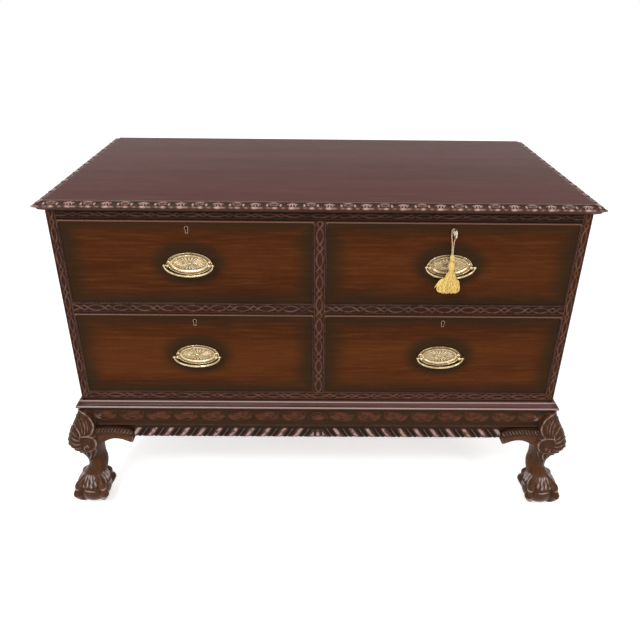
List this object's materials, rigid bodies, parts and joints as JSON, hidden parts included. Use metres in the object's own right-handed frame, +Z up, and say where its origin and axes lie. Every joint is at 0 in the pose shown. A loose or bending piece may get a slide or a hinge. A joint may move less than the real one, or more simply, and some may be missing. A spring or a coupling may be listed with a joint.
{
  "type": "chest of drawers on stand",
  "caption": "Low mahogany chest of drawers on a carved stand: cabriole legs, ball-and-claw feet, oval brass bail handles, locks and a key with a tassel.",
  "frame": {"origin": "on the floor, under the middle of the case, in width and in depth", "axes": "+Z up, drawers face -Y and open towards it, +X to the right of someone facing the drawers"},
  "size_m": [1.31, 0.722, 0.838],
  "materials": {
    "mahogany_polished": "french polished",
    "mahogany_carved": "carved and waxed",
    "oak_inside": "bare, darkened with age",
    "pine_inside": "bare, stained",
    "aged_brass": "worn lacquer",
    "steel": "tarnished",
    "cream_cord": "twisted rayon",
    "gold_silk": "silky yarn"
  },
  "bodies": {
    "root": {"top_board": "mahogany_polished", "case_left_side": "mahogany_polished", "case_right_side": "mahogany_polished", "outer_stiles": "mahogany_carved", "centre_stile": "mahogany_carved", "top_rail": "mahogany_carved", "middle_rails": "mahogany_carved", "bottom_rail": "mahogany_carved", "case_bottom": "pine_inside", "centre_partition": "pine_inside", "dust_boards": "pine_inside", "drawer_kickers": "pine_inside", "drawer_stops": "pine_inside", "back_boards": "pine_inside", "stand_front_rail": "mahogany_carved", "stand_side_rails": "mahogany_carved", "stand_back_rail": "pine_inside", "stand_moulding": "mahogany_carved", "gadroon_edge": "mahogany_carved", "front_left_leg": "mahogany_carved", "front_right_leg": "mahogany_carved", "back_left_leg": "mahogany_carved", "back_right_leg": "mahogany_carved", "knee_brackets": "mahogany_carved", "stand_corner_blocks": "pine_inside"},
    "upper_left_drawer": {"upper_left_drawer_front": "mahogany_polished", "upper_left_drawer_box": "oak_inside", "upper_left_drawer_bottom": "oak_inside", "upper_left_cockbead": "mahogany_polished", "upper_left_handle_plate": "aged_brass", "upper_left_lock": "aged_brass"},
    "upper_left_bail": {"upper_left_bail": "aged_brass"},
    "upper_left_bolt": {"upper_left_lock_bolt": "steel"},
    "upper_right_drawer": {"upper_right_drawer_front": "mahogany_polished", "upper_right_drawer_box": "oak_inside", "upper_right_drawer_bottom": "oak_inside", "upper_right_cockbead": "mahogany_polished", "upper_right_handle_plate": "aged_brass", "upper_right_lock": "aged_brass"},
    "upper_right_bail": {"upper_right_bail": "aged_brass"},
    "upper_right_bolt": {"upper_right_lock_bolt": "steel"},
    "lower_left_drawer": {"lower_left_drawer_front": "mahogany_polished", "lower_left_drawer_box": "oak_inside", "lower_left_drawer_bottom": "oak_inside", "lower_left_cockbead": "mahogany_polished", "lower_left_handle_plate": "aged_brass", "lower_left_lock": "aged_brass"},
    "lower_left_bail": {"lower_left_bail": "aged_brass"},
    "lower_left_bolt": {"lower_left_lock_bolt": "steel"},
    "lower_right_drawer": {"lower_right_drawer_front": "mahogany_polished", "lower_right_drawer_box": "oak_inside", "lower_right_drawer_bottom": "oak_inside", "lower_right_cockbead": "mahogany_polished", "lower_right_handle_plate": "aged_brass", "lower_right_lock": "aged_brass"},
    "lower_right_bail": {"lower_right_bail": "aged_brass"},
    "lower_right_bolt": {"lower_right_lock_bolt": "steel"},
    "key": {"key": "steel"},
    "key_tassel": {"key_cord": "cream_cord", "key_tassel": "gold_silk"}
  },
  "joints": [
    {"name": "upper_left_drawer_slide", "type": "slide", "parent": "root", "child": "upper_left_drawer", "axis": [0, -1, 0], "range_m": [0, 0.4]},
    {"name": "upper_left_bail_lift", "type": "hinge", "parent": "upper_left_drawer", "child": "upper_left_bail", "pos_m": [-0.29625, -0.319, 0.69225], "axis": [-1, 0, 0], "range_deg": [0, 170]},
    {"name": "upper_left_bolt_throw", "type": "slide", "parent": "upper_left_drawer", "child": "upper_left_bolt", "axis": [0, 0, 1], "range_m": [0, 0.008]},
    {"name": "upper_right_drawer_slide", "type": "slide", "parent": "root", "child": "upper_right_drawer", "axis": [0, -1, 0], "range_m": [0, 0.4]},
    {"name": "upper_right_bail_lift", "type": "hinge", "parent": "upper_right_drawer", "child": "upper_right_bail", "pos_m": [0.29625, -0.319, 0.69225], "axis": [-1, 0, 0], "range_deg": [0, 90]},
    {"name": "upper_right_bolt_throw", "type": "slide", "parent": "upper_right_drawer", "child": "upper_right_bolt", "axis": [0, 0, 1], "range_m": [0, 0.008]},
    {"name": "lower_left_drawer_slide", "type": "slide", "parent": "root", "child": "lower_left_drawer", "axis": [0, -1, 0], "range_m": [0, 0.4]},
    {"name": "lower_left_bail_lift", "type": "hinge", "parent": "lower_left_drawer", "child": "lower_left_bail", "pos_m": [-0.29625, -0.319, 0.4515], "axis": [-1, 0, 0], "range_deg": [0, 170]},
    {"name": "lower_left_bolt_throw", "type": "slide", "parent": "lower_left_drawer", "child": "lower_left_bolt", "axis": [0, 0, 1], "range_m": [0, 0.008]},
    {"name": "lower_right_drawer_slide", "type": "slide", "parent": "root", "child": "lower_right_drawer", "axis": [0, -1, 0], "range_m": [0, 0.4]},
    {"name": "lower_right_bail_lift", "type": "hinge", "parent": "lower_right_drawer", "child": "lower_right_bail", "pos_m": [0.29625, -0.319, 0.4515], "axis": [-1, 0, 0], "range_deg": [0, 170]},
    {"name": "lower_right_bolt_throw", "type": "slide", "parent": "lower_right_drawer", "child": "lower_right_bolt", "axis": [0, 0, 1], "range_m": [0, 0.008]},
    {"name": "key_turn", "type": "hinge", "parent": "upper_right_drawer", "child": "key", "pos_m": [0.29625, -0.305, 0.7767], "axis": [0, -1, 0], "range_deg": [0, 180]},
    {"name": "tassel_swing", "type": "hinge", "parent": "upper_right_drawer", "child": "key_tassel", "pos_m": [0.29625, -0.3115, 0.7811], "axis": [-1, 0, 0], "range_deg": [0, 25]}
  ],
  "couplings": [
    {"joint": "upper_right_bolt_throw", "follows": "key_turn", "m_per_rad": 0.0025465},
    {"joint": "tassel_swing", "follows": "upper_right_bail_lift", "ratio": 0.26}
  ]
}
